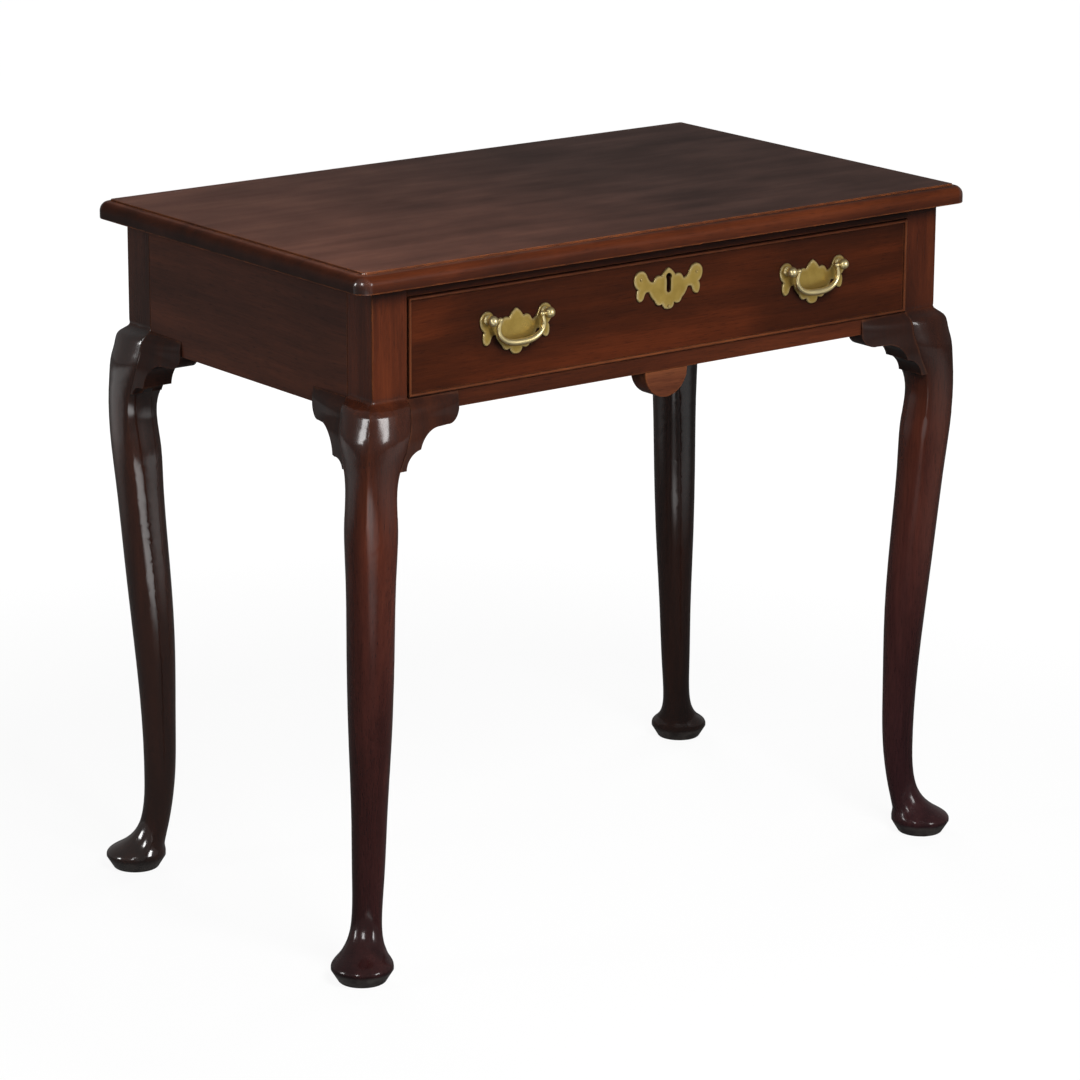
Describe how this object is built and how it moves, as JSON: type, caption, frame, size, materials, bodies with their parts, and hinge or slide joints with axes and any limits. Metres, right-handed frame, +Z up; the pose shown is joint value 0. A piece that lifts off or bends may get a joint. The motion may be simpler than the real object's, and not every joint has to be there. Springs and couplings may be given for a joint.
{
  "type": "lowboy",
  "caption": "Mahogany lowboy with a moulded top, a cock-beaded frieze drawer with batwing brasses, a lock, and cabriole legs on pad feet.",
  "frame": {"origin": "on the floor under the middle of the table", "axes": "+X along the width to the right as seen from the front, -Y out of the drawer front, +Z up"},
  "size_m": [0.804, 0.4758, 0.715],
  "materials": {
    "mahogany": "french polished, old, semi-gloss",
    "oak": "bare, dry",
    "brass": "polished, cast",
    "iron": "dark, dull"
  },
  "bodies": {
    "case": {"top": "mahogany", "top_screws": "iron", "leg_front_left": "mahogany", "leg_front_right": "mahogany", "leg_back_left": "mahogany", "leg_back_right": "mahogany", "bracket_front_left": "mahogany", "bracket_front_right": "mahogany", "bracket_front_left_side": "mahogany", "bracket_front_right_side": "mahogany", "bracket_back_left_side": "mahogany", "bracket_back_right_side": "mahogany", "side_rail_left": "mahogany", "side_rail_right": "mahogany", "back_rail": "oak", "front_rail": "mahogany", "top_rail": "mahogany", "apron_drop": "mahogany", "drawer_runner_left": "oak", "drawer_runner_right": "oak", "drawer_guide_left": "oak", "drawer_guide_right": "oak", "kicker_left": "oak", "kicker_right": "oak", "drawer_stops": "oak", "glue_blocks": "oak"},
    "drawer": {"drawer_front": "mahogany", "cock_bead_top": "mahogany", "cock_bead_bottom": "mahogany", "cock_bead_left": "mahogany", "cock_bead_right": "mahogany", "drawer_side_left": "oak", "drawer_side_right": "oak", "drawer_back": "oak", "drawer_bottom": "oak", "drawer_nails": "iron", "handle_plate_left": "brass", "handle_plate_right": "brass", "handle_posts_left": "brass", "handle_posts_right": "brass", "handle_nuts": "brass", "escutcheon": "brass", "escutcheon_pins": "brass", "lock_case": "iron", "lock_screws": "iron"},
    "bail_left": {"bail_left": "brass"},
    "bail_right": {"bail_right": "brass"},
    "lock_bolt": {"lock_bolt": "iron"}
  },
  "joints": [
    {"name": "drawer_slide", "type": "slide", "parent": "case", "child": "drawer", "axis": [0, -1, 0], "range_m": [0, 0.28]},
    {"name": "bail_left_swing", "type": "hinge", "parent": "drawer", "child": "bail_left", "pos_m": [-0.19, -0.2245, 0.64855], "axis": [-1, 0, 0], "range_deg": [0, 160]},
    {"name": "bail_right_swing", "type": "hinge", "parent": "drawer", "child": "bail_right", "pos_m": [0.19, -0.2245, 0.64855], "axis": [-1, 0, 0], "range_deg": [0, 160]},
    {"name": "lock_bolt_slide", "type": "slide", "parent": "drawer", "child": "lock_bolt", "axis": [0, 0, 1], "range_m": [0, 0.008]}
  ]
}
